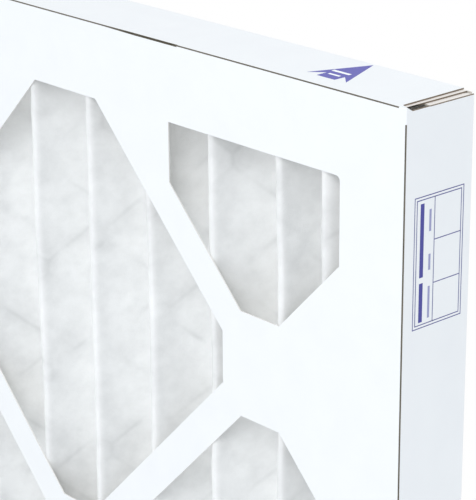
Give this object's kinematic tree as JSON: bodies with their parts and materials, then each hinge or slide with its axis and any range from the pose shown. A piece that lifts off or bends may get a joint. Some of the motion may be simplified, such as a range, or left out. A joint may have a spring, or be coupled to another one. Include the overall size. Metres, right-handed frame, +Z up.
{
  "type": "pleated panel air filter",
  "caption": "Standing pleated panel air filter: vertical pleats and a metal support grid in a folded white board frame with diamond and corner windows.",
  "frame": {"origin": "middle of the bottom edge, on the surface that the filter stands on", "axes": "+X to the right along the width as seen from the air-entering face, +Y through the depth in the direction of the air, +Z up"},
  "size_m": [0.4952, 0.0444, 0.6223],
  "materials": {
    "frame_board": "clay-coated white beverage board, kraft core at cut edges",
    "media": "lofted synthetic non-woven, soft white",
    "grid_metal": "galvanised expanded metal",
    "print_ink": "flat blue printing ink on the board"
  },
  "bodies": {
    "root": {"front_frame": "frame_board", "rear_frame": "frame_board", "pleated_media": "media", "support_grid": "grid_metal"}
  },
  "joints": []
}
